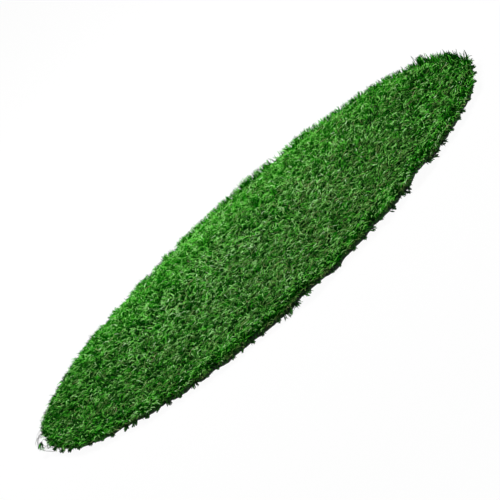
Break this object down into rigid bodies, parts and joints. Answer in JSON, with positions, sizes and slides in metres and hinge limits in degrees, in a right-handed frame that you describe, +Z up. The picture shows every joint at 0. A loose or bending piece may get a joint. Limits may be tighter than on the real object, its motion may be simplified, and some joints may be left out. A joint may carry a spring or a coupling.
{
  "type": "golf hitting mat",
  "caption": "Oval mat of tufted artificial turf that lies flat on the floor and is struck through when practising golf shots.",
  "frame": {"origin": "on the floor under the middle of the mat", "axes": "+X along the long side and the tuft rows, +Y away from the player's near side, +Z up out of the floor"},
  "size_m": [0.6055, 0.3, 0.017],
  "materials": {
    "rubber_coat": "black latex coat, scraped on and cured, with the tuft rows showing through",
    "fleece": "needle-punched charcoal fleece",
    "backing_cloth": "black cloth woven from flat polypropylene tapes",
    "blade_yarn": "extruded green polyethylene monofilament, satin, with some lime and olive strands"
  },
  "bodies": {
    "root": {"latex_coat": "rubber_coat", "stabilising_fleece": "fleece", "primary_backing": "backing_cloth", "pile_near_rows": "blade_yarn", "pile_mid_near_rows": "blade_yarn", "pile_mid_far_rows": "blade_yarn", "pile_far_rows": "blade_yarn"}
  },
  "joints": []
}
